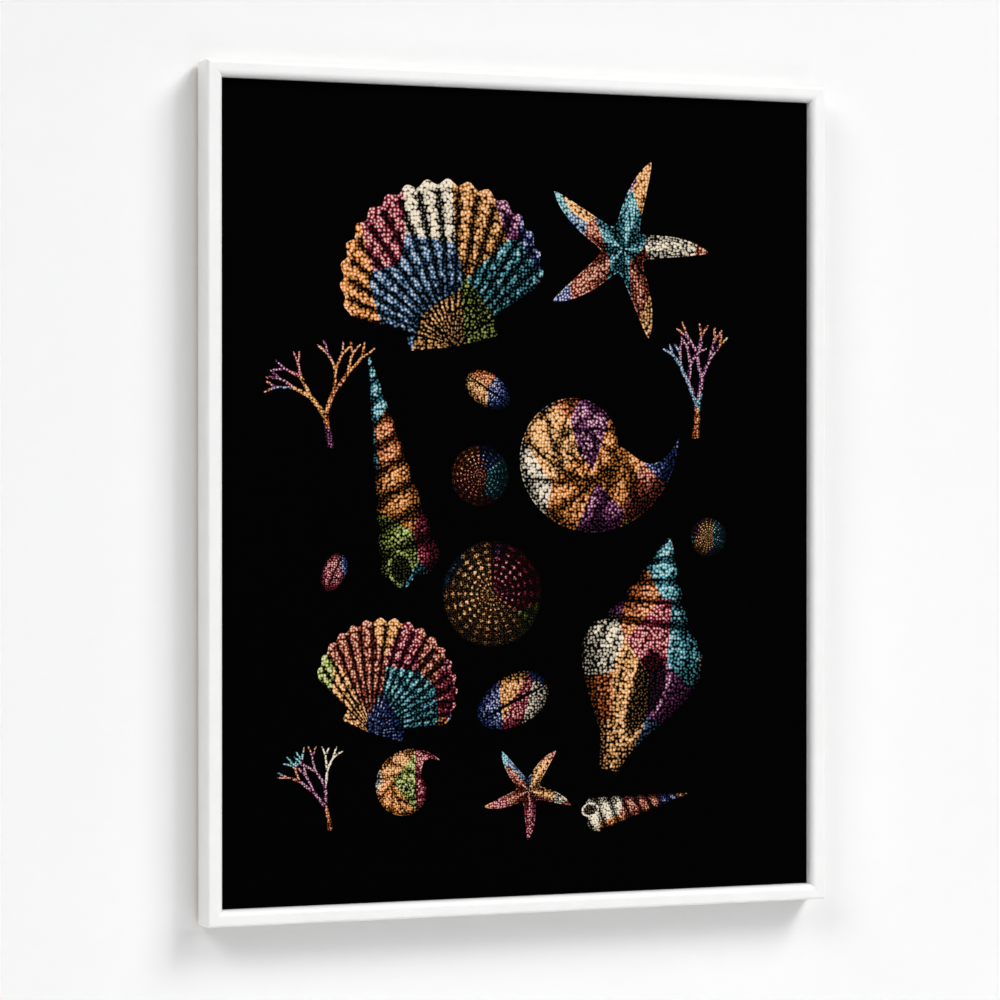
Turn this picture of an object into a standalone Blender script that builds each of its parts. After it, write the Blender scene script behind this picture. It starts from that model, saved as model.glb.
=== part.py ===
"""A stretched canvas in a slim, deep box frame that hangs on a wall.

Metres, +Z up. The wall is the plane Y = 0 and the picture looks towards -Y.
The origin is the point on the wall under the hanger's middle notch, where the nail sits.
Most pieces are placed from an empty in the middle of the frame's front plane. From there
X runs along the width, Z up the height, and Y counts the depth back from the front.
"""

import math

import bmesh
import bpy
from mathutils import Matrix, Vector

# Driving dimensions
CANVAS_WIDTH = 0.700
CANVAS_HEIGHT = 0.900
CANVAS_SKIN = 0.0006
CANVAS_EDGE_ROUND = 0.0010
CANVAS_FLAP = 0.034
CANVAS_PLAY = 0.0006
FACE_WIDTH = 0.018
FRAME_DEPTH = 0.038
CANVAS_RECESS = 0.011
LEDGE_WIDTH = 0.024
OUTER_ROUND = 0.0035
INNER_ROUND = 0.0070
BACK_ROUND = 0.0008
BAR_WIDTH = 0.038
BAR_THICKNESS = 0.018
BAR_BEAD = 0.006
BAR_SLOPE = 0.0025
BAR_EDGE_ROUND = 0.0010
BRACE_WIDTH = 0.038
BRACE_THICKNESS = 0.012
BUMPER_RADIUS = 0.0060
BUMPER_HEIGHT = 0.0040
BUMPER_RIM_ROUND = 0.0013
BUMPER_FROM_CORNER = 0.070
KEY_LONG = 0.020
KEY_SHORT = 0.008
KEY_THICKNESS = 0.0025
KEY_FROM_BAR_FRONT = 0.0076
HANGER_FROM_TOP = 0.0090
HANGER_LENGTH = 0.046
HANGER_HEIGHT = 0.010
HANGER_STEEL = 0.0008
HANGER_RISE = 0.0010
HANGER_TAB = 0.008
HANGER_TEETH = 9
TOOTH_HEIGHT = 0.0022
TOOTH_PITCH = 0.0028
TOOTH_TIP = 0.0001
TACK_RADIUS = 0.0007
TACK_HEAD_RADIUS = 0.0020
TACK_HEAD_HEIGHT = 0.0006
TACK_LENGTH = 0.0100
TACK_POINT = 0.0014
SCREW_RADIUS = 0.0018
SCREW_HEAD_RADIUS = 0.0038
SCREW_HEAD_HEIGHT = 0.0024
SCREW_LENGTH = 0.020
SCREW_POINT = 0.004
SCREW_INSET = 0.012
SCREW_SPREAD = 0.32
DRIVE_WIDTH = 0.0009
DRIVE_SPAN = 0.0040
DRIVE_DEPTH = 0.0014

# Clearances
TOUCH_GAP = 0.0003
HOLE_CLEARANCE = 0.0003
CUT_PAST = 0.001

# Sizes that follow from the driving dimensions
OUTER_WIDTH = CANVAS_WIDTH + 2 * (CANVAS_PLAY + FACE_WIDTH)
OUTER_HEIGHT = CANVAS_HEIGHT + 2 * (CANVAS_PLAY + FACE_WIDTH)
BACK_BAND = FACE_WIDTH + LEDGE_WIDTH
BAR_OUTER_WIDTH = CANVAS_WIDTH - 2 * (CANVAS_SKIN + TOUCH_GAP)
BAR_OUTER_HEIGHT = CANVAS_HEIGHT - 2 * (CANVAS_SKIN + TOUCH_GAP)
BAR_INNER_WIDTH = BAR_OUTER_WIDTH - 2 * BAR_WIDTH
BAR_INNER_HEIGHT = BAR_OUTER_HEIGHT - 2 * BAR_WIDTH
BAR_FRONT = CANVAS_RECESS + CANVAS_SKIN + TOUCH_GAP
BAR_BACK = BAR_FRONT + BAR_THICKNESS
FLAP_FRONT = BAR_BACK + TOUCH_GAP
FLAP_BACK = FLAP_FRONT + CANVAS_SKIN
LEDGE_DEPTH = FLAP_BACK + TOUCH_GAP
FRONT_Y = -(FRAME_DEPTH + BUMPER_HEIGHT + TOUCH_GAP)
NOTCH_FROM_TOP = HANGER_FROM_TOP + HANGER_HEIGHT / 2 - TOOTH_HEIGHT
CENTRE_Z = NOTCH_FROM_TOP - OUTER_HEIGHT / 2

# How finely rounds are drawn
ROUND_STEPS = 5
LIP_STEPS = 8
SMALL_ROUND_STEPS = 3
EDGE_BREAK_STEPS = 2
TURN_STEPS = 20
TACK_STEPS = 12
SMOOTH_ANGLE = math.radians(35)
QUARTER = math.pi / 2


def clear_scene():
    for old in list(bpy.data.objects):
        bpy.data.objects.remove(old)


def principled(name, colour, roughness, metallic=0.0):
    material = bpy.data.materials.new(name)
    material.use_nodes = True
    shader = material.node_tree.nodes["Principled BSDF"]
    shader.inputs["Base Color"].default_value = (*colour, 1.0)
    shader.inputs["Roughness"].default_value = roughness
    shader.inputs["Metallic"].default_value = metallic
    return material


def white_lacquer(name):
    return principled(name, (0.90, 0.90, 0.89), 0.38)


def black_printed_cloth(name):
    return principled(name, (0.006, 0.006, 0.007), 0.75)


def raw_pine(name):
    return principled(name, (0.71, 0.54, 0.35), 0.65)


def beech(name):
    return principled(name, (0.62, 0.42, 0.26), 0.55)


def zinc_steel(name):
    return principled(name, (0.66, 0.67, 0.69), 0.32, metallic=1.0)


def clear_rubber(name):
    return principled(name, (0.55, 0.56, 0.57), 0.45)


def mesh_from(name, bm):
    mesh = bpy.data.meshes.new(name)
    bmesh.ops.recalc_face_normals(bm, faces=bm.faces)
    bm.to_mesh(mesh)
    bm.free()
    mesh.shade_smooth()
    mesh.set_sharp_from_angle(angle=SMOOTH_ANGLE)
    return mesh


def place(name, mesh, parent, location=(0, 0, 0), rotation=(0, 0, 0), finish=None):
    piece = bpy.data.objects.new(name, mesh)
    bpy.context.collection.objects.link(piece)
    piece.parent = parent
    piece.location = location
    piece.rotation_euler = rotation
    if finish is not None:
        if not mesh.materials:
            mesh.materials.append(None)
        piece.material_slots[0].link = "OBJECT"
        piece.material_slots[0].material = finish(name + "_finish")
    return piece


def place_cutter(name, mesh, parent, location=(0, 0, 0), rotation=(0, 0, 0)):
    cutter = place(name, mesh, parent, location, rotation)
    cutter.hide_render = True
    cutter.display_type = "WIRE"
    return cutter


def cut_away(piece, cutter):
    cut = piece.modifiers.new("cut_" + cutter.name, "BOOLEAN")
    cut.operation = "DIFFERENCE"
    cut.solver = "EXACT"
    cut.object = cutter


def arc(centre, radius, start, end, steps):
    """Points round a quarter or other part of a circle, in a plane's two coordinates."""
    points = []
    for step in range(steps + 1):
        angle = start + (end - start) * step / steps
        points.append((centre[0] + radius * math.cos(angle), centre[1] + radius * math.sin(angle)))
    return points


def moulding_section():
    """The frame's L section as (inward, depth) points.

    The face rounds over into a tall wall beside the cloth, with a ledge behind at its foot."""
    lip = FACE_WIDTH - INNER_ROUND
    heel = FRAME_DEPTH - BACK_ROUND
    outline = arc((OUTER_ROUND, OUTER_ROUND), OUTER_ROUND, math.pi, 3 * QUARTER, ROUND_STEPS)
    outline += arc((lip, INNER_ROUND), INNER_ROUND, -QUARTER, 0, LIP_STEPS)
    outline.append((FACE_WIDTH, LEDGE_DEPTH))
    outline.append((BACK_BAND, LEDGE_DEPTH))
    outline += arc((BACK_BAND - BACK_ROUND, heel), BACK_ROUND, 0, QUARTER, EDGE_BREAK_STEPS)
    outline += arc((BACK_ROUND, heel), BACK_ROUND, QUARTER, math.pi, EDGE_BREAK_STEPS)
    return outline


def bar_section():
    """A stretcher bar: a bead holds the cloth at the edge and the rest slopes away from it."""
    inner_front = BAR_FRONT + BAR_SLOPE
    outline = arc((BAR_EDGE_ROUND, BAR_FRONT + BAR_EDGE_ROUND), BAR_EDGE_ROUND,
                  math.pi, 3 * QUARTER, SMALL_ROUND_STEPS)
    outline.append((BAR_BEAD, BAR_FRONT))
    outline.append((BAR_WIDTH, inner_front))
    outline.append((BAR_WIDTH, BAR_BACK))
    outline.append((0.0, BAR_BACK))
    return outline


def grow(bm, outline, along):
    """A solid made from a flat outline of 3D points, pulled along a vector."""
    corners = [bm.verts.new(point) for point in outline]
    face = bm.faces.new(corners)
    grown = bmesh.ops.extrude_face_region(bm, geom=[face])
    moved = [item for item in grown["geom"] if isinstance(item, bmesh.types.BMVert)]
    bmesh.ops.translate(bm, verts=moved, vec=along)


def mitred_rail(name, section, run, reach):
    """One side of a frame, run metres long at its outer edge, which lies reach from the centre."""
    bm = bmesh.new()
    grow(bm, [(-run / 2, depth, reach - inward) for inward, depth in section], (run, 0, 0))
    for corner in bm.verts:
        inward = reach - corner.co.z
        mitre_x = run / 2 - inward - TOUCH_GAP / 2
        corner.co.x = math.copysign(mitre_x, corner.co.x)
    return mesh_from(name, bm)


def side_turns():
    """Each side's name, its turn about Y, and whether it is an upright."""
    return (
        ("top", 0.0, False),
        ("right", QUARTER, True),
        ("bottom", math.pi, False),
        ("left", -QUARTER, True),
    )


def corner_turns():
    """Each corner's name, its signs along X and Z, and its turn about Y from the top left one."""
    return (
        ("top_left", -1, 1, 0.0),
        ("top_right", 1, 1, QUARTER),
        ("bottom_right", 1, -1, math.pi),
        ("bottom_left", -1, -1, -QUARTER),
    )


def screw_places():
    """Where the eight screws go: a pair on each side, as (side, turn, along, out from the centre)."""
    places = []
    for side, turn, upright in side_turns():
        reach = (OUTER_WIDTH if upright else OUTER_HEIGHT) / 2
        run = OUTER_HEIGHT if upright else OUTER_WIDTH
        for label, direction in (("a", -1), ("b", 1)):
            along = direction * run * SCREW_SPREAD
            places.append((side, label, turn, along, reach - FACE_WIDTH - SCREW_INSET))
    return places


def turned(name, profile, steps=TURN_STEPS):
    """A closed round solid about Y from (radius, height) points that start and end on the axis."""
    bm = bmesh.new()
    points = [bm.verts.new((radius, height, 0)) for radius, height in profile]
    edges = [bm.edges.new(pair) for pair in zip(points, points[1:])]
    bmesh.ops.spin(bm, geom=points + edges, cent=(0, 0, 0), axis=(0, 1, 0), angle=2 * math.pi,
                   steps=steps, use_merge=True)
    bmesh.ops.remove_doubles(bm, verts=bm.verts, dist=0.00001)
    return mesh_from(name, bm)


def block(name, size, centre=(0, 0, 0)):
    bm = bmesh.new()
    bmesh.ops.create_cube(bm, size=1.0, matrix=Matrix.Translation(centre) @ Matrix.Diagonal((*size, 1)))
    return mesh_from(name, bm)


def baked_cut(piece, cutter):
    """The piece's mesh with the cutter's shape taken out, for pieces that share one mesh."""
    cut_away(piece, cutter)
    seen = piece.evaluated_get(bpy.context.evaluated_depsgraph_get())
    mesh = bpy.data.meshes.new_from_object(seen)
    bpy.data.objects.remove(piece)
    bpy.data.objects.remove(cutter)
    return mesh


def screw_mesh():
    """A countersunk wood screw along Y, its head's face at zero and its point towards -Y."""
    plain = turned("plain_screw", [
        (0, 0),
        (SCREW_HEAD_RADIUS, 0),
        (SCREW_RADIUS, -SCREW_HEAD_HEIGHT),
        (SCREW_RADIUS, -(SCREW_LENGTH - SCREW_POINT)),
        (0, -SCREW_LENGTH),
    ])
    inner = DRIVE_WIDTH / 2
    tip = DRIVE_SPAN / 2
    arm = ((inner, inner), (tip, inner), (tip, -inner))
    cross = []
    for quarter in range(4):
        spin = Matrix.Rotation(quarter * QUARTER, 4, "Y")
        cross += [spin @ Vector((x, -DRIVE_DEPTH, z)) for x, z in arm]
    drive = bmesh.new()
    grow(drive, cross, (0, 2 * DRIVE_DEPTH, 0))
    piece = place("plain_screw", plain, None)
    cutter = place_cutter("drive_recess", mesh_from("drive_recess", drive), None)
    return baked_cut(piece, cutter)


def screw_hole_mesh():
    """The screw's shape made larger all round, its mouth past the back of the frame."""
    radius = SCREW_RADIUS + HOLE_CLEARANCE
    head = SCREW_HEAD_RADIUS + HOLE_CLEARANCE
    return turned("screw_hole", [
        (0, CUT_PAST),
        (head, CUT_PAST),
        (head, -HOLE_CLEARANCE),
        (radius, -(SCREW_HEAD_HEIGHT + HOLE_CLEARANCE)),
        (radius, -(SCREW_LENGTH + HOLE_CLEARANCE)),
        (0, -(SCREW_LENGTH + HOLE_CLEARANCE)),
    ])


def screw_spot(turn, along, out):
    """A screw head's place, a hair under the frame's back, from its side's turn about Y."""
    return Matrix.Rotation(turn, 4, "Y") @ Vector((along, FRAME_DEPTH - TOUCH_GAP, out))


def add_screws(parent):
    shared = screw_mesh()
    shared.name = "screw"
    for side, label, turn, along, out in screw_places():
        spot = screw_spot(turn, along, out)
        place("screw_" + side + "_" + label, shared, parent, spot, finish=zinc_steel)


def add_screw_holes(parent):
    """One cutter for each screw. The rails, the bars and the cloth's flaps share them."""
    shared = screw_hole_mesh()
    cutters = {}
    for side, label, turn, along, out in screw_places():
        cutter = place_cutter("hole_" + side + "_" + label, shared, parent, screw_spot(turn, along, out))
        cutters.setdefault(side, []).append(cutter)
    return cutters


def add_frame(parent, holes):
    for side, turn, upright in side_turns():
        run = OUTER_HEIGHT if upright else OUTER_WIDTH
        reach = (OUTER_WIDTH if upright else OUTER_HEIGHT) / 2
        mesh = mitred_rail("frame_" + side, moulding_section(), run, reach)
        rail = place("frame_" + side, mesh, parent, rotation=(0, turn, 0), finish=white_lacquer)
        for hole in holes[side]:
            cut_away(rail, hole)


def add_bars(parent, holes):
    for side, turn, upright in side_turns():
        run = BAR_OUTER_HEIGHT if upright else BAR_OUTER_WIDTH
        reach = (BAR_OUTER_WIDTH if upright else BAR_OUTER_HEIGHT) / 2
        mesh = mitred_rail("stretcher_" + side, bar_section(), run, reach)
        bar = place("stretcher_" + side, mesh, parent, rotation=(0, turn, 0), finish=raw_pine)
        for hole in holes[side]:
            cut_away(bar, hole)


def add_brace(parent):
    """The flat bar across the middle, its ends against the uprights and its back flush with them."""
    size = (BAR_INNER_WIDTH - 2 * TOUCH_GAP, BRACE_THICKNESS, BRACE_WIDTH)
    mesh = block("stretcher_brace", size)
    depth = BAR_BACK - BRACE_THICKNESS / 2
    place("stretcher_brace", mesh, parent, location=(0, depth, 0), finish=raw_pine)


def canvas_shell():
    """The outside of the wrapped cloth as a closed block with rounded front and corner edges."""
    bm = bmesh.new()
    size = (CANVAS_WIDTH, FLAP_BACK - CANVAS_RECESS, CANVAS_HEIGHT)
    middle = (0, (CANVAS_RECESS + FLAP_BACK) / 2, 0)
    bmesh.ops.create_cube(bm, size=1.0, matrix=Matrix.Translation(middle) @ Matrix.Diagonal((*size, 1)))
    rounded = []
    for edge in bm.edges:
        on_back = all(corner.co.y > middle[1] for corner in edge.verts)
        if not on_back:
            rounded.append(edge)
    bmesh.ops.bevel(bm, geom=rounded, offset=CANVAS_EDGE_ROUND, offset_type="OFFSET", affect="EDGES",
                    segments=SMALL_ROUND_STEPS, profile=0.5, material=-1, clamp_overlap=True)
    return mesh_from("canvas", bm)


def add_canvas(parent, holes):
    """Cloth over the bars: one skin in front, round the sides, and turned in behind as flaps."""
    canvas = place("canvas", canvas_shell(), parent, finish=black_printed_cloth)
    inside_front = CANVAS_RECESS + CANVAS_SKIN
    inside = block("canvas_inside", (
        CANVAS_WIDTH - 2 * CANVAS_SKIN,
        FLAP_FRONT - inside_front,
        CANVAS_HEIGHT - 2 * CANVAS_SKIN,
    ))
    inside_place = (0, (inside_front + FLAP_FRONT) / 2, 0)
    cut_away(canvas, place_cutter("canvas_inside", inside, parent, location=inside_place))
    window = block("canvas_window", (
        CANVAS_WIDTH - 2 * CANVAS_FLAP,
        CANVAS_SKIN + 2 * CUT_PAST,
        CANVAS_HEIGHT - 2 * CANVAS_FLAP,
    ))
    cut_away(canvas, place_cutter("canvas_window", window, parent, location=(0, FLAP_BACK, 0)))
    for side_holes in holes.values():
        for hole in side_holes:
            cut_away(canvas, hole)


def key_mesh():
    """A flat wedge that tightens a corner: a long leg along X and a short one down Z."""
    bm = bmesh.new()
    grow(bm, ((0, 0, 0), (KEY_LONG, 0, 0), (0, 0, -KEY_SHORT)), (0, KEY_THICKNESS, 0))
    return mesh_from("key", bm)


def add_keys(parent):
    """Two wedges in each inner corner of the bars, one along each bar, the second behind the first."""
    mesh = key_mesh()
    first_depth = BAR_FRONT + KEY_FROM_BAR_FRONT
    second_depth = first_depth + KEY_THICKNESS + TOUCH_GAP
    corner_x = BAR_INNER_WIDTH / 2 - TOUCH_GAP
    corner_z = BAR_INNER_HEIGHT / 2 - TOUCH_GAP
    flipped = Matrix.Rotation(QUARTER, 4, "Y") @ Matrix.Rotation(math.pi, 4, "X")
    for name, right, up, turn in corner_turns():
        spot = (right * corner_x, first_depth, up * corner_z)
        place("key_" + name + "_a", mesh, parent, spot, (0, turn, 0), finish=beech)
        spot = (right * corner_x, second_depth + KEY_THICKNESS, up * corner_z)
        across = Matrix.Rotation(turn, 4, "Y") @ flipped
        place("key_" + name + "_b", mesh, parent, spot, across.to_euler(), finish=beech)


def bumper_mesh():
    rim = BUMPER_RIM_ROUND
    outline = [(0, 0), (BUMPER_RADIUS, 0), (BUMPER_RADIUS, BUMPER_HEIGHT - rim)]
    outline += arc((BUMPER_RADIUS - rim, BUMPER_HEIGHT - rim), rim, 0, QUARTER, SMALL_ROUND_STEPS)[1:]
    outline.append((0, BUMPER_HEIGHT))
    return turned("bumper", outline)


def add_bumpers(parent):
    mesh = bumper_mesh()
    out_x = OUTER_WIDTH / 2 - BACK_BAND / 2
    out_z = OUTER_HEIGHT / 2 - BUMPER_FROM_CORNER
    for name, right, up, _ in corner_turns():
        spot = (right * out_x, FRAME_DEPTH + TOUCH_GAP, up * out_z)
        place("bumper_" + name, mesh, parent, spot, finish=clear_rubber)


def hanger_strip_mesh():
    """The hanger's bent strip before its teeth are cut: flat tabs and a middle raised off the wood."""
    half = HANGER_LENGTH / 2
    step_in = half - HANGER_TAB
    rise_run = HANGER_RISE
    low = [(-half, 0), (-step_in, 0), (-step_in + rise_run, HANGER_RISE)]
    near_wood = low + [(-x, y) for x, y in reversed(low)]
    near_wall = [(x, y + HANGER_STEEL) for x, y in reversed(near_wood)]
    bm = bmesh.new()
    grow(bm, [(x, y, -HANGER_HEIGHT / 2) for x, y in near_wood + near_wall], (0, 0, HANGER_HEIGHT))
    return mesh_from("hanger", bm)


def notch_mesh():
    """The notches between the teeth, as one comb of three-cornered prisms that don't touch."""
    bm = bmesh.new()
    depth = HANGER_STEEL + HANGER_RISE + 2 * CUT_PAST
    edge = -HANGER_HEIGHT / 2
    foot = edge - CUT_PAST
    apex = edge + TOOTH_HEIGHT
    half_width = (TOOTH_PITCH - TOOTH_TIP) / 2
    for index in range(HANGER_TEETH):
        middle = (index - (HANGER_TEETH - 1) / 2) * TOOTH_PITCH
        left = middle - half_width
        right = middle + half_width
        points = ((left, foot), (right, foot), (right, edge), (middle, apex), (left, edge))
        grow(bm, [(x, -CUT_PAST, z) for x, z in points], (0, depth, 0))
    return mesh_from("hanger_notches", bm)


def tack_mesh():
    """A short flat-headed tack along Y, the underside of its head at zero."""
    return turned("tack", [
        (0, TACK_HEAD_HEIGHT),
        (TACK_HEAD_RADIUS, TACK_HEAD_HEIGHT),
        (TACK_HEAD_RADIUS, 0),
        (TACK_RADIUS, 0),
        (TACK_RADIUS, -TACK_LENGTH + TACK_POINT),
        (0, -TACK_LENGTH),
    ], steps=TACK_STEPS)


def tack_hole_mesh():
    radius = TACK_RADIUS + HOLE_CLEARANCE
    length = TACK_LENGTH + HOLE_CLEARANCE
    return turned("tack_hole", [
        (0, CUT_PAST),
        (radius, CUT_PAST),
        (radius, -length),
        (0, -length),
    ], steps=TACK_STEPS)


def add_hanger(parent, top_rail):
    """A sawtooth hanger in the middle of the top rail, tacked into its wall's full depth."""
    height = OUTER_HEIGHT / 2 - HANGER_FROM_TOP
    wood = FRAME_DEPTH + TOUCH_GAP
    hanger = place("hanger", hanger_strip_mesh(), parent, location=(0, wood, height), finish=zinc_steel)
    notches = place_cutter("hanger_notches", notch_mesh(), parent, location=(0, wood, height))
    cut_away(hanger, notches)
    tack = tack_mesh()
    hole = tack_hole_mesh()
    head_under = wood + HANGER_STEEL + TOUCH_GAP
    for name, right in (("left", -1), ("right", 1)):
        spot = (right * (HANGER_LENGTH - HANGER_TAB) / 2, head_under, height)
        place("hanger_tack_" + name, tack, parent, spot, finish=zinc_steel)
        cutter = place_cutter("tack_hole_" + name, hole, parent, spot)
        cut_away(hanger, cutter)
        cut_away(top_rail, cutter)


def build():
    clear_scene()
    centre = bpy.data.objects.new("picture_centre", None)
    centre.location = (0, FRONT_Y, CENTRE_Z)
    bpy.context.collection.objects.link(centre)
    holes = add_screw_holes(centre)
    add_frame(centre, holes)
    add_bars(centre, holes)
    add_brace(centre)
    add_canvas(centre, holes)
    add_keys(centre)
    add_screws(centre)
    add_bumpers(centre)
    add_hanger(centre, bpy.data.objects["frame_top"])


build()
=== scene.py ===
# %% [markdown]
# # A framed canvas print, dressed for its portrait
#
# The solids of this picture are already built: four white rails, a wrapped canvas on pine
# bars, and the small steel and rubber pieces behind. This lesson gives them the look of the
# real thing. Each step first says what the real piece is, then makes it.
#
# Everything is in metres. X runs to the right along the picture, Z runs up, and the wall is
# the plane Y = 0 with the picture looking towards -Y.

import math
import random

import bmesh
import bpy
from mathutils import Matrix, Vector


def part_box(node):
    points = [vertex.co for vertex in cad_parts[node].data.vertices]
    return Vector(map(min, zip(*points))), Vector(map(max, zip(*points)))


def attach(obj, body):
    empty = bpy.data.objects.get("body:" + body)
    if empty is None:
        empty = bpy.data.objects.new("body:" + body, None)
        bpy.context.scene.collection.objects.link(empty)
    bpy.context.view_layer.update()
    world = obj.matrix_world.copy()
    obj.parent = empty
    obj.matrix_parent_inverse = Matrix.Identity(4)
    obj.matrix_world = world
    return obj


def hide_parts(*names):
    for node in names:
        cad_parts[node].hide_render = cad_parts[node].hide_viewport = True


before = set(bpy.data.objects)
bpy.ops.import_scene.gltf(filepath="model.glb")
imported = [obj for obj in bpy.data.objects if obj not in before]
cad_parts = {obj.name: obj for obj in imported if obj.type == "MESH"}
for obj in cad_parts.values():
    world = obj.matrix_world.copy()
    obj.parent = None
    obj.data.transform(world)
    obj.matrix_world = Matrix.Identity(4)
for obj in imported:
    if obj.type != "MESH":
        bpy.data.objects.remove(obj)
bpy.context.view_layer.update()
print("solids loaded:", len(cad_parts))

# %% Places that the solids give
CANVAS_LOW, CANVAS_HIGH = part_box("canvas")
RAIL_LOW, RAIL_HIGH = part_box("frame_top")
CENTRE = (CANVAS_LOW + CANVAS_HIGH) / 2
HALF_WIDTH = (CANVAS_HIGH.x - CANVAS_LOW.x) / 2
HALF_HEIGHT = (CANVAS_HIGH.z - CANVAS_LOW.z) / 2
FRAME_FRONT = RAIL_LOW.y
FRAME_BACK = RAIL_HIGH.y
CLOTH_FRONT = CANVAS_LOW.y
CLOTH_BACK = CANVAS_HIGH.y
print("canvas %.1f x %.1f mm" % (2000 * HALF_WIDTH, 2000 * HALF_HEIGHT))

# %% [markdown]
# ## Camera
#
# The straight edges of the frame fix the camera. Lines that run back from the face meet far to
# the right, so the camera stands to the left of the picture and looks a little to the right.
# A long lens of about 120 mm gives the weak perspective.

# %% Camera
CAMERA_PLACE = (-1.33555, -3.54099, -0.44688)
CAMERA_YAW = math.radians(-20.433)
CAMERA_PITCH = math.radians(-0.264)
LENS_MM = 120.85

camera_data = bpy.data.cameras.new("camera")
camera_data.lens = LENS_MM
camera_data.sensor_width = 36.0
camera = bpy.data.objects.new("camera", camera_data)
camera.location = CAMERA_PLACE
camera.rotation_euler = (math.pi / 2 + CAMERA_PITCH, 0.0, CAMERA_YAW)
bpy.context.scene.collection.objects.link(camera)
bpy.context.scene.camera = camera
print("camera stands %.2f m from the wall" % -CAMERA_PLACE[1])

# %% [markdown]
# ## Materials that read as arithmetic
#
# A material is a small network of nodes. Written out node by node it is long and hard to
# follow, so a signal stands for one socket. Adding or multiplying signals adds a Math node,
# and the lines then read like the sums they are.


# %% Feed a socket
def feed(slot, value):
    """Joins a signal to a node's input, or sets the input to a plain value."""
    if isinstance(value, Signal):
        slot.id_data.links.new(value.socket, slot)
    else:
        slot.default_value = value


# %% A signal
class Signal:
    """One output socket of a material's nodes. Arithmetic on it adds Math nodes."""

    def __init__(self, socket):
        self.socket = socket

    def math(self, operation, *others):
        made = self.socket.id_data.nodes.new("ShaderNodeMath")
        made.operation = operation
        for slot, value in zip(made.inputs, (self, *others)):
            feed(slot, value)
        return Signal(made.outputs[0])

    def __add__(self, other):
        return self.math("ADD", other)

    def __sub__(self, other):
        return self.math("SUBTRACT", other)

    def __rsub__(self, other):
        return self.math("MULTIPLY_ADD", -1.0, other)

    def __mul__(self, other):
        return self.math("MULTIPLY", other)

    def __pow__(self, other):
        return self.math("POWER", other)

    __radd__ = __add__
    __rmul__ = __mul__

    def wave(self, times=1.0):
        """Rises from 0 to 1 and back once for each whole number passed."""
        return (self * (times * math.pi)).math("SINE").math("ABSOLUTE")

    def cell(self):
        return self.math("FRACT")

    def above(self, low, high):
        """A soft step from 0 at low to 1 at high."""
        made = self.socket.id_data.nodes.new("ShaderNodeMapRange")
        made.interpolation_type = "SMOOTHSTEP"
        for slot, value in zip(made.inputs, (self, low, high, 0.0, 1.0)):
            feed(slot, value)
        return Signal(made.outputs[0])


# %% A finish and its nodes
def new_finish(name, **uniform):
    """A material whose shader has these plain values, such as Roughness=0.4."""
    material = bpy.data.materials.new(name)
    material.use_nodes = True
    shader = material.node_tree.nodes["Principled BSDF"]
    for socket, value in uniform.items():
        shader.inputs[socket.replace("_", " ")].default_value = value
    return material, shader


def add_node(material, kind, output, settings=None, **inputs):
    """Adds a node and gives one of its outputs as a signal."""
    made = material.node_tree.nodes.new("ShaderNode" + kind)
    for name, value in (settings or {}).items():
        setattr(made, name, value)
    for name, value in inputs.items():
        feed(made.inputs[name.replace("_", " ")], value)
    return Signal(made.outputs[output])


# %% Coordinates, noise and colour
def object_place(material, turn=(0, 0, 0), scale=(1, 1, 1), shift=(0, 0, 0)):
    """The point on the object in metres, turned and stretched for a pattern."""
    place = add_node(material, "TexCoord", "Object")
    return add_node(material, "Mapping", "Vector", Vector=place, Rotation=turn, Scale=scale,
                    Location=shift)


def noise(material, place, scale, detail=2.0, roughness=0.5):
    """Soft light and dark from 0 to 1, finer with a larger scale."""
    return add_node(material, "TexNoise", "Fac", Vector=place, Scale=scale, Detail=detail,
                    Roughness=roughness)


def ramp(material, value, stops, steps=False):
    """A colour that runs through the stops, which are (position, colour), or jumps between them."""
    made = material.node_tree.nodes.new("ShaderNodeValToRGB")
    made.color_ramp.interpolation = "CONSTANT" if steps else "LINEAR"
    for index, (position, colour) in enumerate(stops):
        points = made.color_ramp.elements
        point = points[index] if index < len(points) else points.new(position)
        point.position = position
        point.color = (*colour, 1.0)
    feed(made.inputs[0], value)
    return Signal(made.outputs[0])


def blend(material, amount, first, second, way="MIX"):
    """Two colours mixed, from the first at 0 to the second at 1."""
    made = material.node_tree.nodes.new("ShaderNodeMix")
    made.data_type = "RGBA"
    made.blend_type = way
    feed(made.inputs["Factor"], amount)
    colour_slots = [slot for slot in made.inputs if slot.type == "RGBA"]
    for slot, colour in zip(colour_slots, (first, second)):
        feed(slot, colour if isinstance(colour, Signal) else (*colour, 1.0))
    return Signal([socket for socket in made.outputs if socket.type == "RGBA"][0])


def relief(material, shader, height, depth, strength=1.0):
    """Makes the surface look as uneven as the height signal, times a depth in metres."""
    normal = add_node(material, "Bump", "Normal", Height=height, Distance=depth, Strength=strength)
    feed(shader.inputs["Normal"], normal)


def srgb(*levels):
    """A colour as a screen shows it, 0 to 255, in the shader's linear numbers."""
    return tuple(((level / 255 + 0.055) / 1.055) ** 2.4 for level in levels)


def greys(dark, pale):
    """Stops for a surface that varies a little between two greys."""
    return [(0.3, (dark,) * 3), (0.7, (pale,) * 3)]


print("orange in linear numbers:", [round(c, 3) for c in srgb(235, 140, 50)])

# %% [markdown]
# ## Wall, floor and light
#
# The picture hangs close to a white wall, and the soft grey shadow round it says most about
# the light. It is deepest below and to the left and hardly there on top, so most light comes
# from above and from the right, through something large. The wall can only be seen from the
# front, so that the back of the picture shows when the camera goes round.
#
# The wall and the floor are plain sheets that stay out of the part.


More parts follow.
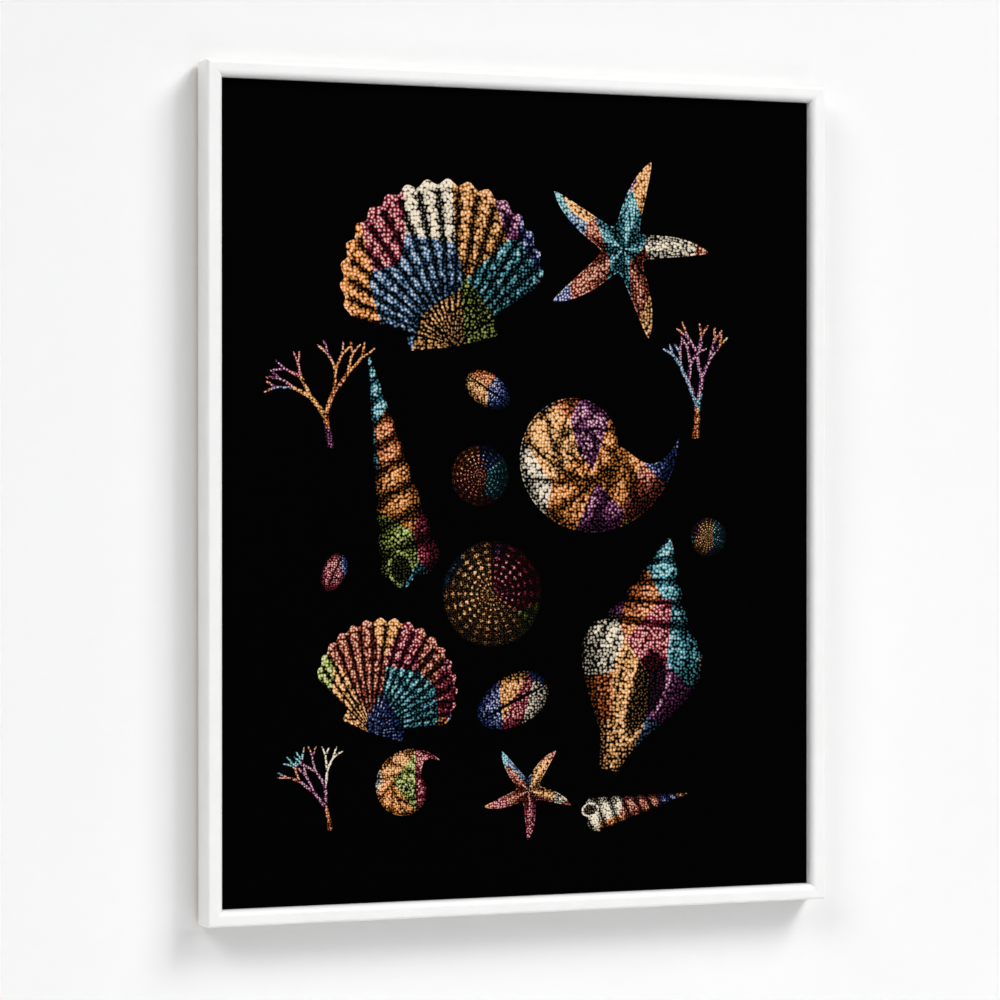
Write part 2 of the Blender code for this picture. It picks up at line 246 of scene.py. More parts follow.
# %% A flat stage piece
def stage_plane(name, centre, turn, size, material):
    bm = bmesh.new()
    bmesh.ops.create_grid(bm, x_segments=1, y_segments=1, size=0.5)
    bmesh.ops.scale(bm, vec=(size[0], size[1], 1.0), verts=bm.verts)
    bmesh.ops.rotate(bm, cent=(0, 0, 0), matrix=Matrix.Rotation(turn, 3, "X"), verts=bm.verts)
    bmesh.ops.translate(bm, vec=centre, verts=bm.verts)
    mesh = bpy.data.meshes.new(name)
    bm.to_mesh(mesh)
    bm.free()
    mesh.materials.append(material)
    plane = bpy.data.objects.new(name, mesh)
    bpy.context.scene.collection.objects.link(plane)
    return plane


# %% Wall and floor
FLOOR_Z = -1.75
WALL_GAP = 0.0002

wall_paint, wall_shader = new_finish("wall_paint", Roughness=0.9, Specular_IOR_Level=0.1)
wall_place = object_place(wall_paint)
wall_tone = noise(wall_paint, wall_place, 1.5)
feed(wall_shader.inputs["Base Color"], ramp(wall_paint, wall_tone, greys(0.892, 0.907)))
relief(wall_paint, wall_shader, noise(wall_paint, wall_place, 500.0), 0.0001, 0.3)
seen_from_behind = add_node(wall_paint, "NewGeometry", "Backfacing")
clear = add_node(wall_paint, "BsdfTransparent", 0)
one_sided = wall_paint.node_tree.nodes.new("ShaderNodeMixShader")
feed(one_sided.inputs[0], seen_from_behind)
feed(one_sided.inputs[1], Signal(wall_shader.outputs[0]))
feed(one_sided.inputs[2], clear)
wall_output = wall_paint.node_tree.nodes["Material Output"]
feed(wall_output.inputs["Surface"], Signal(one_sided.outputs[0]))

floor_paint, floor_shader = new_finish("floor_paint", Roughness=0.7)
floor_tone = noise(floor_paint, object_place(floor_paint), 2.0)
feed(floor_shader.inputs["Base Color"], ramp(floor_paint, floor_tone, greys(0.74, 0.78)))

wall = stage_plane("wall", (0, WALL_GAP, FLOOR_Z + 2.0), math.pi / 2, (6.0, 4.0), wall_paint)
wall.visible_shadow = False
floor = stage_plane("floor", (0, 0, FLOOR_Z), 0.0, (8.0, 8.0), floor_paint)
print("floor is %.2f m below the nail" % -FLOOR_Z)


# %% [markdown]
# Each soft light is given by its direction from the picture, in degrees to the right and
# above, its distance and its width. They are as large and as far away as windows, so the wall
# is evenly white and the shadow's edge is wide. The strong one stands to the right and above,
# a second to the left and above, and a third, weaker, nearer the front. A weak one from below,
# which the floor doesn't hold back, leaves a faint shadow over the frame. The back would be
# black, so two more lights stand behind the wall. They count only for what the camera sees
# straight away, which keeps their glow from creeping out round the frame.

# %% Lights
PICTURE = Vector((0.0, 0.0, CENTRE.z))
SOFT_LIGHTS = (
    ("key", 42, 42, 12.0, 5.0, 1010.0),
    ("upper_left", -50, 36, 12.0, 5.0, 565.0),
    ("front", 24, 24, 12.0, 4.4, 240.0),
    ("low", 10, -38, 12.0, 5.0, 120.0),
    ("behind_high", 180, 36, 2.6, 1.2, 36.0),
    ("behind_low", 180, -24, 2.6, 1.2, 18.0),
)
floor.visible_shadow = False

for name, side, up, distance, width, watts in SOFT_LIGHTS:
    side, up = math.radians(side), math.radians(up)
    towards_light = Vector((math.sin(side) * math.cos(up), -math.cos(side) * math.cos(up), math.sin(up)))
    data = bpy.data.lights.new(name, "AREA")
    data.size = width
    data.energy = watts
    lamp = bpy.data.objects.new(name, data)
    lamp.location = PICTURE + towards_light * distance
    lamp.rotation_euler = towards_light.to_track_quat("Z", "Y").to_euler()
    bpy.context.scene.collection.objects.link(lamp)
    if name.startswith("behind"):
        data.cycles.max_bounces = 0

# %% [markdown]
# The room itself gives next to no light, or the shadow would wash out. It only looks pale
# where the camera sees past the wall, and shows faintly in anything shiny.

# %% Room
BACKDROP = 0.80
REFLECTED = 0.35

world = bpy.data.worlds.new("pale_room")
world.use_nodes = True
backdrop = world.node_tree.nodes["Background"]
backdrop.inputs["Color"].default_value = (1.0, 1.0, 1.0, 1.0)
ray = world.node_tree.nodes.new("ShaderNodeLightPath")
straight = Signal(ray.outputs["Is Camera Ray"])
mirrored = Signal(ray.outputs["Is Glossy Ray"])
feed(backdrop.inputs["Strength"], straight * BACKDROP + mirrored * REFLECTED)
bpy.context.scene.world = world
bpy.context.scene.view_settings.view_transform = "Standard"
print("backdrop brightness:", BACKDROP)

# %% [markdown]
# ## White lacquer
#
# The moulding is wood under sprayed white lacquer. Up close the spray leaves a faint skin like
# orange peel, and the grain shows through a little. The lacquer stops at the back of the frame,
# where the bare wood shows with a ragged white edge. One material does both, because the depth
# of a point says which side of that edge it is on.


# %% Wood grain
def wood_grain(material, upright, rings=90.0, seed=0.0):
    """A signal that runs in long stripes along a bar, and the point that they are drawn on."""
    lengthwise = (1, 1, 0.045) if upright else (0.045, 1, 1)
    place = object_place(material, scale=lengthwise, shift=(seed, seed, seed))
    bend = noise(material, place, 14.0, 3.0)
    stripes = add_node(material, "TexNoise", "Fac", Vector=place, Scale=rings, Detail=4.0,
                       Roughness=0.62, Distortion=bend * 1.4)
    return stripes, place


# %% Lacquer
LACQUER_STOPS_AT = FRAME_BACK - 0.0007


def white_lacquer(name, upright, seed):
    material, shader = new_finish(name, Coat_Weight=0.25, Coat_Roughness=0.22, Coat_IOR=1.45)
    grain, stretched = wood_grain(material, upright, seed=seed)
    place = object_place(material)
    peel = noise(material, place, 900.0, 2.0)
    dust = noise(material, place, 35.0, 4.0)
    depth = add_node(material, "SeparateXYZ", "Y", Vector=place)
    ragged = depth + noise(material, place, 260.0, 3.0) * 0.0008
    bare = ragged.above(LACQUER_STOPS_AT + 0.0002, LACQUER_STOPS_AT + 0.0006)
    paint = ramp(material, dust, [(0.3, (0.868, 0.868, 0.863)), (0.7, (0.894, 0.894, 0.889))])
    wood_stops = [(0.32, srgb(196, 160, 112)), (0.5, srgb(222, 190, 144)), (0.68, srgb(232, 205, 163))]
    wood = ramp(material, grain, wood_stops)
    feed(shader.inputs["Base Color"], blend(material, bare, paint, wood))
    feed(shader.inputs["Roughness"], dust * 0.12 + 0.34 + bare * 0.3)
    skin = peel * 0.6 + grain * 0.5 + bare * noise(material, stretched, 800.0) * 2.0
    relief(material, shader, skin, 0.00006, 0.6)
    return material


def dress(node_name, finish):
    """Gives a solid its finish in place of the plain one."""
    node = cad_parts[node_name]
    node.data.materials.clear()
    node.data.materials.append(finish)


SIDES = (("top", False, 0.0), ("right", True, 3.1), ("bottom", False, 5.7), ("left", True, 8.2))
for side, upright, seed in SIDES:
    dress("frame_" + side, white_lacquer("lacquer_" + side, upright, seed))
print("rails lacquered:", len(SIDES))

# %% [markdown]
# ## Pine bars and beech wedges
#
# The cloth is stretched on planed pine. The rings of the tree show as lines along each bar:
# pale wood that darkens slowly, then stops at a sharp edge. The rings circle a heart that lies
# outside the bar. Here and there a branch left a knot, and the lines part round it. The wedges
# in the corners are beech, which is redder, with short dark flecks.

# %% Pine
RING_WIDTH = 0.0024
RING_WANDER = 0.022
HEART_DEPTH = 0.030
HEART_OFFSET = 0.014
KNOT_SPACING = 0.085
KNOT_RADIUS = 0.0065
KNOT_PARTING = 0.006
EARLY_WOOD = srgb(230, 205, 166)
LATE_WOOD = srgb(190, 142, 92)


def pine(node_name, seed):
    """Bare pine for one bar, with the lines of its rings running along it."""
    low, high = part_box(node_name)
    upright = high.z - low.z > high.x - low.x
    middle = (low + high) / 2
    heart = (middle.x if upright else middle.z) + HEART_OFFSET * math.cos(seed)
    material, shader = new_finish("pine_" + node_name, Specular_IOR_Level=0.25)
    lengthwise = (1, 1, 0.06) if upright else (0.06, 1, 1)
    drawn_out = object_place(material, scale=lengthwise, shift=(seed, seed, seed))
    place = object_place(material, shift=(seed, seed, seed))
    knots = add_node(material, "TexVoronoi", "Distance", Vector=place, Scale=1 / KNOT_SPACING)
    from_knot = knots * KNOT_SPACING
    parting = 1.0 - from_knot.above(0.0, 4 * KNOT_RADIUS)
    wander = noise(material, drawn_out, 10.0) * RING_WANDER + parting * KNOT_PARTING
    here = object_place(material)
    across = add_node(material, "SeparateXYZ", "X" if upright else "Z", Vector=here) - heart + wander
    deep = add_node(material, "SeparateXYZ", "Y", Vector=here) - (middle.y + HEART_DEPTH)
    from_heart = (across * across + deep * deep).math("SQRT")
    late = (from_heart * (1 / RING_WIDTH) + noise(material, drawn_out, 60.0) * 0.5).cell() ** 3.0
    fibre = noise(material, drawn_out, 1100.0, 3.0, 0.6)
    wood = blend(material, late * (fibre * 0.5 + 0.6), EARLY_WOOD, LATE_WOOD)
    knot_stops = [(0.0, srgb(158, 100, 58)), (0.6, srgb(136, 82, 46)), (0.9, srgb(98, 58, 32))]
    knot = ramp(material, from_knot * (1 / KNOT_RADIUS), knot_stops)
    in_wood = from_knot.above(KNOT_RADIUS * 0.85, KNOT_RADIUS)
    feed(shader.inputs["Base Color"], blend(material, in_wood, knot, wood))
    feed(shader.inputs["Roughness"], fibre * 0.25 + 0.50)
    relief(material, shader, late * 0.5 + fibre, 0.00010, 0.7)
    return material


# %% Dress the bars
for seed, part in enumerate(("top", "right", "bottom", "left", "brace")):
    dress("stretcher_" + part, pine("stretcher_" + part, 1.7 + 2.3 * seed))
print("ring width: %.1f mm" % (1000 * RING_WIDTH))


# %% Beech
def beech(name):
    material, shader = new_finish(name, Specular_IOR_Level=0.25)
    drawn_out = object_place(material, scale=(0.12, 1, 1))
    fibre = noise(material, drawn_out, 900.0, 3.0, 0.6)
    flecks = noise(material, drawn_out, 1700.0, 1.0).above(0.60, 0.68)
    wood = ramp(material, fibre, [(0.3, srgb(190, 150, 114)), (0.7, srgb(214, 180, 146))])
    feed(shader.inputs["Base Color"], blend(material, flecks * 0.7, wood, srgb(148, 100, 68)))
    feed(shader.inputs["Roughness"], fibre * 0.2 + 0.55)
    relief(material, shader, fibre, 0.00012, 0.8)
    return material


wedge_wood = beech("beech")
WEDGES = [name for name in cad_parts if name.startswith("key_")]
for name in WEDGES:
    dress(name, wedge_wood)
print("wedges:", len(WEDGES))

# %% [markdown]
# ## Zinc and clear rubber
#
# Hanger, tacks and screws are steel with a thin coat of zinc. The hanger was rolled, so fine
# lines run along it, and the zinc clouds a little as it ages. The four wall pads are a clear
# soft rubber that lets the wood behind show through.


# %% Zinc
def zinc(name, lines):
    """Zinc plate with fine lines, drawn out along the axes where lines is small."""
    material, shader = new_finish(name, Metallic=1.0)
    brushed = noise(material, object_place(material, scale=lines), 2400.0, 3.0, 0.6)
    cloud = noise(material, object_place(material), 240.0, 4.0)
    tint = ramp(material, cloud, [(0.35, (0.46, 0.48, 0.52)), (0.65, (0.62, 0.62, 0.60))])
    feed(shader.inputs["Base Color"], tint)
    feed(shader.inputs["Roughness"], brushed * 0.20 + cloud * 0.15 + 0.22)
    relief(material, shader, brushed, 0.00002, 0.7)
    return material


rolled_zinc = zinc("rolled_zinc", (0.03, 1, 1))
turned_zinc = zinc("turned_zinc", (1, 0.2, 1))
dress("hanger", rolled_zinc)
TURNED = [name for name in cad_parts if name.startswith(("screw_", "hanger_tack"))]
for name in TURNED:
    dress(name, turned_zinc)
print("screws and tacks:", len(TURNED))


# %% Clear rubber
def clear_rubber(name):
    material, shader = new_finish(name, Transmission_Weight=0.35, IOR=1.46)
    dust = noise(material, object_place(material), 700.0, 4.0)
    clouded = ramp(material, dust, [(0.4, (0.80, 0.81, 0.82)), (0.7, (0.90, 0.91, 0.91))])
    feed(shader.inputs["Base Color"], clouded)
    feed(shader.inputs["Roughness"], dust * 0.3 + 0.08)
    relief(material, shader, dust, 0.00003, 0.4)
    return material


pad_rubber = clear_rubber("clear_rubber")
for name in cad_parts:
    if name.startswith("bumper_"):
        dress(name, pad_rubber)

# %% [markdown]
# ## The stretched canvas
#
# The picture is printed on woven cloth, pulled over the bars and turned in behind, where
# staples hold it. The cloth is one sheet, so it is made as one: the outside of the block, a
# window cut in its back, soft folds along the edges, and then a thickness put on inwards.
# It stands for the plain solid canvas.


# %% Keep a finished mesh as a piece
def keep_piece(name, bm, finishes, sharp=35.0):
    """Turns a bmesh into a piece that rides on the picture."""
    mesh = bpy.data.meshes.new(name)
    bm.to_mesh(mesh)
    bm.free()
    mesh.shade_smooth()
    mesh.set_sharp_from_angle(angle=math.radians(sharp))
    for finish in finishes:
        mesh.materials.append(finish)
    piece = bpy.data.objects.new(name, mesh)
    bpy.context.scene.collection.objects.link(piece)
    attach(piece, "root")
    return piece


# %% Soften, join and pull out
def soften(bm, edges, radius, segments=2):
    """Rounds edges off, because hardly any real edge is sharp."""
    bmesh.ops.bevel(bm, geom=edges, offset=radius, offset_type="OFFSET", affect="EDGES",
                    segments=segments, profile=0.5, material=-1, clamp_overlap=True)


def join_into(bm, part):
    """Adds a finished bmesh to another one."""
    mesh = bpy.data.meshes.new("part")
    part.to_mesh(mesh)
    part.free()
    bm.from_mesh(mesh)
    bpy.data.meshes.remove(mesh)


def pull_out(bm, outline, along):
    """A closed solid from a flat outline of points, pulled along a vector."""
    face = bm.faces.new([bm.verts.new(point) for point in outline])
    pulled = bmesh.ops.extrude_face_region(bm, geom=[face])
    moved = [item for item in pulled["geom"] if isinstance(item, bmesh.types.BMVert)]
    bmesh.ops.translate(bm, vec=along, verts=moved)
    bmesh.ops.recalc_face_normals(bm, faces=bm.faces)


# %% Lay a weave on any face
def unwrap_flat(bm):
    """Gives each face the two of its coordinates that it spreads along, in metres."""
    layer = bm.loops.layers.uv.new("cloth")
    for face in bm.faces:
        spread = [abs(part) for part in face.normal]
        away = spread.index(max(spread))
        first, second = [axis for axis in range(3) if axis != away]
        for corner in face.loops:
            corner[layer].uv = (corner.vert.co[first], corner.vert.co[second])


# %% Wrap the cloth
CLOTH_THICKNESS = 0.0005
CLOTH_FOLD = 0.0010
FLAP = 0.034


def wrapped_cloth():
    bm = bmesh.new()
    bmesh.ops.create_cube(bm, size=1.0)
    size = (2 * HALF_WIDTH, CLOTH_BACK - CLOTH_FRONT, 2 * HALF_HEIGHT)
    bmesh.ops.scale(bm, vec=size, verts=bm.verts)
    bmesh.ops.translate(bm, vec=CENTRE, verts=bm.verts)
    back = [face for face in bm.faces if face.normal.y > 0.5]
    bmesh.ops.inset_region(bm, faces=back, thickness=FLAP, use_even_offset=True)
    bmesh.ops.delete(bm, geom=back, context="FACES")
    folds = [edge for edge in bm.edges if len(edge.link_faces) == 2 and edge.calc_face_angle() > 1.0]
    soften(bm, folds, CLOTH_FOLD, segments=4)
    lined = bmesh.ops.solidify(bm, geom=bm.faces[:], thickness=CLOTH_THICKNESS)
    for item in lined["geom"]:
        if isinstance(item, bmesh.types.BMFace):
            item.material_index = 1
    bm.normal_update()
    unwrap_flat(bm)
    return bm


# %% [markdown]
# ## Cloth, ink and primer
#
# The weave is plain: threads cross over and under, a bit more than half a millimetre apart,
# and no two are quite as thick. The same weave shows through the ink, so each cloth finish
# shares it. The black runs round the front edge and a little way down the sides. Behind that
# the cloth is primed white, and the reverse is raw and creamy.

# %% Weave
THREAD = 0.00056
THREAD_RELIEF = 0.00008
INK_BLACK = (0.0002, 0.0002, 0.0003)
# The black is a little paler on the thread tops: a painted highlight.
INK_BLACK_THREAD_HIGHLIGHT = (0.0007, 0.0007, 0.0008)
BLEED = 0.0035


def weave(material):
    """Height of the threads, 0 to 1, from the sheet's own flat coordinates."""
    flat = add_node(material, "UVMap", "UV", {"uv_map": "cloth"})
    uneven = noise(material, flat, 130.0, 3.0)
    along = add_node(material, "SeparateXYZ", "X", Vector=flat) * (1 / THREAD) + uneven
    across = add_node(material, "SeparateXYZ", "Y", Vector=flat) * (1 / THREAD) + uneven
    return along.wave() * across.wave() * (uneven * 0.7 + 0.5)


def matt_threads(material, shader, threads):
    """Dull cloth whose threads stand out a little."""
    feed(shader.inputs["Roughness"], threads * -0.15 + 0.85)
    relief(material, shader, threads, THREAD_RELIEF, 0.8)


# %% Ink and primer on the outside
def printed_cloth():
    material, shader = new_finish("printed_cloth", Specular_IOR_Level=0.01)
    threads = weave(material)
    place = object_place(material)
    ragged = noise(material, place, 900.0) * 0.0004
    depth = add_node(material, "SeparateXYZ", "Y", Vector=place) + ragged
    white = depth.above(CLOTH_FRONT + BLEED, CLOTH_FRONT + BLEED + 0.0003)
    # The ink is painted paler on the thread tops, a painted highlight.
    ink = ramp(material, threads, [(0.1, INK_BLACK), (0.9, INK_BLACK_THREAD_HIGHLIGHT)])
    # The primer is painted darker between the threads: painted shade in the weave's hollows.
    primer_and_weave_shade = ramp(material, threads, [(0.0, (0.68, 0.68, 0.66)), (0.6, (0.84, 0.84, 0.83))])
    feed(shader.inputs["Base Color"], blend(material, white, ink, primer_and_weave_shade))
    matt_threads(material, shader, threads)
    return material


# %% Raw reverse
def raw_cloth():
    material, shader = new_finish("raw_cloth", Specular_IOR_Level=0.15, Roughness=0.95, Sheen_Weight=0.15)
    threads = weave(material)
    stain = noise(material, object_place(material), 9.0, 4.0)
    cream = ramp(material, stain, [(0.3, srgb(226, 216, 192)), (0.7, srgb(238, 230, 210))])
    shade = ramp(material, threads, [(0.0, (0.55, 0.53, 0.48)), (0.5, (1.0, 1.0, 1.0))])
    feed(shader.inputs["Base Color"], blend(material, 1.0, cream, shade, way="MULTIPLY"))
    relief(material, shader, threads, 0.00018, 0.9)
    return material


# %% Make the canvas
printed_face = printed_cloth()
canvas = keep_piece("canvas_cloth", wrapped_cloth(), [printed_face, raw_cloth()])
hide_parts("canvas")
SIDE = CLOTH_BACK - CLOTH_FRONT
CLOTH_FLAT = (2 * (HALF_WIDTH + SIDE + FLAP), 2 * (HALF_HEIGHT + SIDE + FLAP))
print("cloth cut to %.0f x %.0f mm" % (1000 * CLOTH_FLAT[0], 1000 * CLOTH_FLAT[1]))

# %% [markdown]
# ## What holds it, behind
#
# From behind, a narrow band of the turned-in cloth shows between the frame's ledge and the
# bare edge of the bars. At each corner the spare cloth is folded over itself into a triangle.
# Wire staples hold the cloth to the bars every few centimetres, shot by hand, so none sits
# quite straight. The frame's mitres are held by V-nails, bent steel strips that are pressed in
# across the joint.

# %% Corner folds
BACK_BAND = RAIL_HIGH.z - RAIL_LOW.z
LEDGE_EDGE = (RAIL_HIGH.x - BACK_BAND, RAIL_HIGH.z - CENTRE.z - BACK_BAND)
FLAP_EDGE = (HALF_WIDTH - FLAP, HALF_HEIGHT - FLAP)
FOLD_THICKNESS = 0.00045
FOLD_ROUND = 0.00015
CORNERS = (
    ("top_left", -1, 1),
    ("top_right", 1, 1),
    ("bottom_right", 1, -1),
    ("bottom_left", -1, -1),
)


def corner_fold(right, up):
    """The three-cornered overlap, with its slanted fold running out to the corner."""
    bm = bmesh.new()
    steps = (FLAP_EDGE, LEDGE_EDGE, (LEDGE_EDGE[0], FLAP_EDGE[1]))
    outline = [(right * x, CLOTH_BACK, CENTRE.z + up * z) for x, z in steps]
    pull_out(bm, outline, (0, FOLD_THICKNESS, 0))
    soften(bm, bm.edges[:], FOLD_ROUND)
    unwrap_flat(bm)
    return bm


for corner, right, up in CORNERS:
    fold = corner_fold(right, up)
    keep_piece("corner_fold_" + corner, fold, [printed_face], 60.0)

# %% Staples
CROWN = 0.0110
WIRE_WIDTH = 0.0010
WIRE_THICKNESS = 0.0005
STAPLE_LEG = 0.0004
STAPLE_PITCH = 0.045
STAPLE_ROUND = 0.00012
STAPLE_LIFT = 0.00002
MOST_SLANT = 7
MOST_ALONG = 0.003
MOST_ACROSS = 0.0008


def staple():
    """One staple, its crown along X and its legs into the wood."""
    half = CROWN / 2
    inner = half - WIRE_THICKNESS
    right_half = [(inner, 0), (inner, -STAPLE_LEG), (half, -STAPLE_LEG), (half, WIRE_THICKNESS)]
    left_half = [(-x, y) for x, y in reversed(right_half)]
    bm = bmesh.new()
    pull_out(bm, [(x, y, -WIRE_WIDTH / 2) for x, y in right_half + left_half], (0, 0, WIRE_WIDTH))
    soften(bm, bm.edges[:], STAPLE_ROUND)
    return bm


def staple_row(length, reach, turn, seed):
    """Staples along one side of the flaps, as shot by hand."""
    draw = random.Random(seed)
    bm = bmesh.new()
    count = int(length / STAPLE_PITCH)
    for index in range(count):
        wire = staple()
        slant = Matrix.Rotation(math.radians(draw.uniform(-MOST_SLANT, MOST_SLANT)), 3, "Y")
        bmesh.ops.rotate(wire, cent=(0, 0, 0), matrix=slant, verts=wire.verts)
        along = (index - (count - 1) / 2) * length / count + draw.uniform(-MOST_ALONG, MOST_ALONG)
        across = reach + draw.uniform(-MOST_ACROSS, MOST_ACROSS)
        bmesh.ops.translate(wire, vec=(along, 0, across), verts=wire.verts)
        join_into(bm, wire)
    bmesh.ops.rotate(bm, cent=(0, 0, 0), matrix=Matrix.Rotation(turn, 3, "Y"), verts=bm.verts)
    bmesh.ops.translate(bm, vec=(0, CLOTH_BACK + STAPLE_LIFT, CENTRE.z), verts=bm.verts)
    return bm


MIDWAY = [(flap + ledge) / 2 for flap, ledge in zip(FLAP_EDGE, LEDGE_EDGE)]
for side, upright, seed in SIDES:
    length = 2 * (FLAP_EDGE[1] if upright else FLAP_EDGE[0])
    reach = MIDWAY[0] if upright else MIDWAY[1]
    turn = {"top": 0.0, "right": math.pi / 2, "bottom": math.pi, "left": -math.pi / 2}[side]
    row = staple_row(length, reach, turn, seed)
    keep_piece("staples_" + side, row, [turned_zinc])
print("staple rows:", len(SIDES))

# %% V-nails
NAIL_WIDTH = 0.0100
NAIL_STEEL = 0.00056
NAIL_RISE = 0.0040
NAIL_LIP = 0.0030
NAIL_BEND = 0.86
NAIL_PROUD = 0.00004
NAIL_SUNK = 0.0003
NAILS_FROM_CORNER = (0.012, 0.026)
FRAME_CORNER = (RAIL_HIGH.x, RAIL_HIGH.z - CENTRE.z)


def v_nails(right, up):
    """Two V-nails across one mitre, seen on the back of the frame."""
    half = NAIL_WIDTH / 2
    bend = half * NAIL_BEND
    line = [(-half, NAIL_LIP), (-bend, NAIL_RISE), (0, 0), (bend, NAIL_RISE), (half, NAIL_LIP)]
    outline = line + [(x, z - NAIL_STEEL) for x, z in reversed(line)]
    to_middle = Matrix.Rotation(math.atan2(-right, -up), 3, "Y")
    bm = bmesh.new()
    for inward in NAILS_FROM_CORNER:
        x, z = right * (FRAME_CORNER[0] - inward), up * (FRAME_CORNER[1] - inward)
        spot = Vector((x, FRAME_BACK - NAIL_SUNK, CENTRE.z + z))
        placed = [to_middle @ Vector((x, 0, z)) + spot for x, z in outline]
        pull_out(bm, placed, (0, NAIL_SUNK + NAIL_PROUD, 0))
    return bm


for corner, right, up in CORNERS:
    keep_piece("v_nails_" + corner, v_nails(right, up), [turned_zinc])
print("V-nails:", 2 * len(CORNERS))

# %% [markdown]
# The frame is glued together before it is sprayed, so lacquer fills the mitres and the corners
# look seamless from the front. A slip of the moulding's own section closes each joint, a few
# hundredths of a millimetre under the surface.

# %% Filled mitres
FACE_WIDTH = 0.0180
OUTER_ROUND = 0.0035
OUTER_STEPS = 5
INNER_ROUND = 0.0070
INNER_STEPS = 8
LEDGE_GAP = 0.0003
LEDGE_FRONT = CLOTH_BACK + LEDGE_GAP
JOINT_WIDTH = 0.00029
SUNK = 0.00004


def round_edge(inward, radius, start, steps):
    """A quarter round as (inward, depth) points, a hair under the real one."""
    reach = radius - SUNK
    angles = [start + math.pi / 2 * step / steps for step in range(steps + 1)]
    return [(inward + reach * math.cos(angle), FRAME_FRONT + radius + reach * math.sin(angle))
            for angle in angles]


def mitre_slip(right, up):
    """One joint's filling, drawn on the mitre as (inward, depth) points and pulled across it."""
    section = round_edge(OUTER_ROUND, OUTER_ROUND, math.pi, OUTER_STEPS)
    section += round_edge(FACE_WIDTH - INNER_ROUND, INNER_ROUND, -math.pi / 2, INNER_STEPS)
    section += [(FACE_WIDTH - SUNK, LEDGE_FRONT + SUNK), (BACK_BAND - SUNK, LEDGE_FRONT + SUNK)]
    section += [(BACK_BAND - SUNK, FRAME_BACK - SUNK), (SUNK, FRAME_BACK - SUNK)]
    across = Vector((right, 0, -up)).normalized() * JOINT_WIDTH
    bm = bmesh.new()
    outline = []
    for inward, depth in section:
        x = right * (FRAME_CORNER[0] - inward)
        z = CENTRE.z + up * (FRAME_CORNER[1] - inward)
        outline.append(Vector((x, depth, z)) - across / 2)
    pull_out(bm, outline, across)
    return bm


mitre_lacquer = white_lacquer("lacquer_mitres", True, 9.4)
for corner, right, up in CORNERS:
    keep_piece("mitre_fill_" + corner, mitre_slip(right, up), [mitre_lacquer])
print("mitres filled:", len(CORNERS))

# %% [markdown]
# ## The printed shells
#
# The picture is a chart of sea shells on black, in the manner of an old engraving that was
# coloured in patches. Ink has no thickness to speak of. Each shell is still a mesh of its own,
# a tenth of a millimetre thick, because its outline then stays crisp however close the camera
# comes. A grid of small squares is pushed into the shell's outline by a formula, and the grid
# keeps its old square coordinates, across and along, for the ribs and bands to follow.

# %% Push a grid into shape
INK_LIFT = 0.00003
INK_THICKNESS = 0.00008
INK_STEP = 0.000006


def add_patch(bm, shape, across, along, finish=0, order=0):
    """Adds one thin closed patch. shape(u, v) gives a point in metres for u and v from 0 to 1.

    A patch of a higher order is printed over the lower ones."""
    grid = bmesh.new()
    grid.loops.layers.uv.new("shell")
    bmesh.ops.create_grid(grid, x_segments=across, y_segments=along, size=0.5, calc_uvs=True)
    for corner in grid.verts:
        x, z = shape(corner.co.x + 0.5, corner.co.y + 0.5)
        corner.co = (x, -INK_LIFT - INK_STEP * order, z)
    bmesh.ops.remove_doubles(grid, verts=grid.verts, dist=0.00003)
    bmesh.ops.recalc_face_normals(grid, faces=grid.faces)
    bmesh.ops.solidify(grid, geom=grid.faces[:], thickness=INK_THICKNESS)
    bmesh.ops.recalc_face_normals(grid, faces=grid.faces)
    for face in grid.faces:
        face.material_index = finish
    join_into(bm, grid)


def print_shell(name, patches, centre_mm, turn, finishes):
    """Inks the patches at a place on the cloth, counted in millimetres from its middle."""
    bm = bmesh.new()
    for patch in patches:
        add_patch(bm, *patch)
    turned = Matrix.Rotation(math.radians(turn), 3, "Y")
    bmesh.ops.rotate(bm, cent=(0, 0, 0), matrix=turned, verts=bm.verts)
    spot = (centre_mm[0] / 1000, CLOTH_FRONT, CENTRE.z + centre_mm[1] / 1000)
    bmesh.ops.translate(bm, vec=spot, verts=bm.verts)
    unwrap_flat(bm)
    return keep_piece(name, bm, finishes)


# %% [markdown]
# ### Patches of colour, and the engraver's pebbles
#
# Two things make the old engraving look. Colour lies in straight-edged fields that ignore the
# shell beneath, as if cut from paper. Light and dark come from small pebbles of colour with
# black between them: in the light they are big and pale at heart, in the shade they shrink.

# %% Colour fields
PALETTE = (
    srgb(232, 138, 48),
    srgb(84, 128, 170),
    srgb(206, 104, 30),
    srgb(160, 36, 66),
    srgb(242, 172, 98),
    srgb(44, 70, 138),
    srgb(226, 150, 70),
    srgb(134, 54, 116),
    srgb(78, 168, 184),
    srgb(236, 222, 198),
    srgb(170, 72, 44),
    srgb(168, 184, 84),
)
FLAT_CELLS = {"voronoi_dimensions": "2D"}


def flat_place(material, turn=0.0, scale=(1, 1, 1), shift=0.0):
    """The point on the picture as (x, z), turned and stretched within the picture."""
    upright = object_place(material, turn=(-math.pi / 2, 0, 0))
    turn_within = (0, 0, math.radians(turn))
    return add_node(material, "Mapping", "Vector", Vector=upright, Rotation=turn_within,
                    Scale=scale, Location=(shift, shift * 0.7, 0))


def colour_fields(material, seed, field):
    """Straight-edged fields in the picture's colours."""
    place = flat_place(material, turn=28 + 17 * seed, scale=(1, 0.55, 1), shift=seed)
    fields = add_node(material, "TexVoronoi", "Color", FLAT_CELLS, Vector=place, Scale=1 / field)
    pick = add_node(material, "SeparateColor", 0, Color=fields)
    stops = [(index / len(PALETTE), colour) for index, colour in enumerate(PALETTE)]
    return ramp(material, pick, stops, steps=True)


# %% Pebbles
CREAM = srgb(255, 238, 214)
DIMMEST_PEBBLE = 0.70
PEBBLES_DIFFER = 0.70


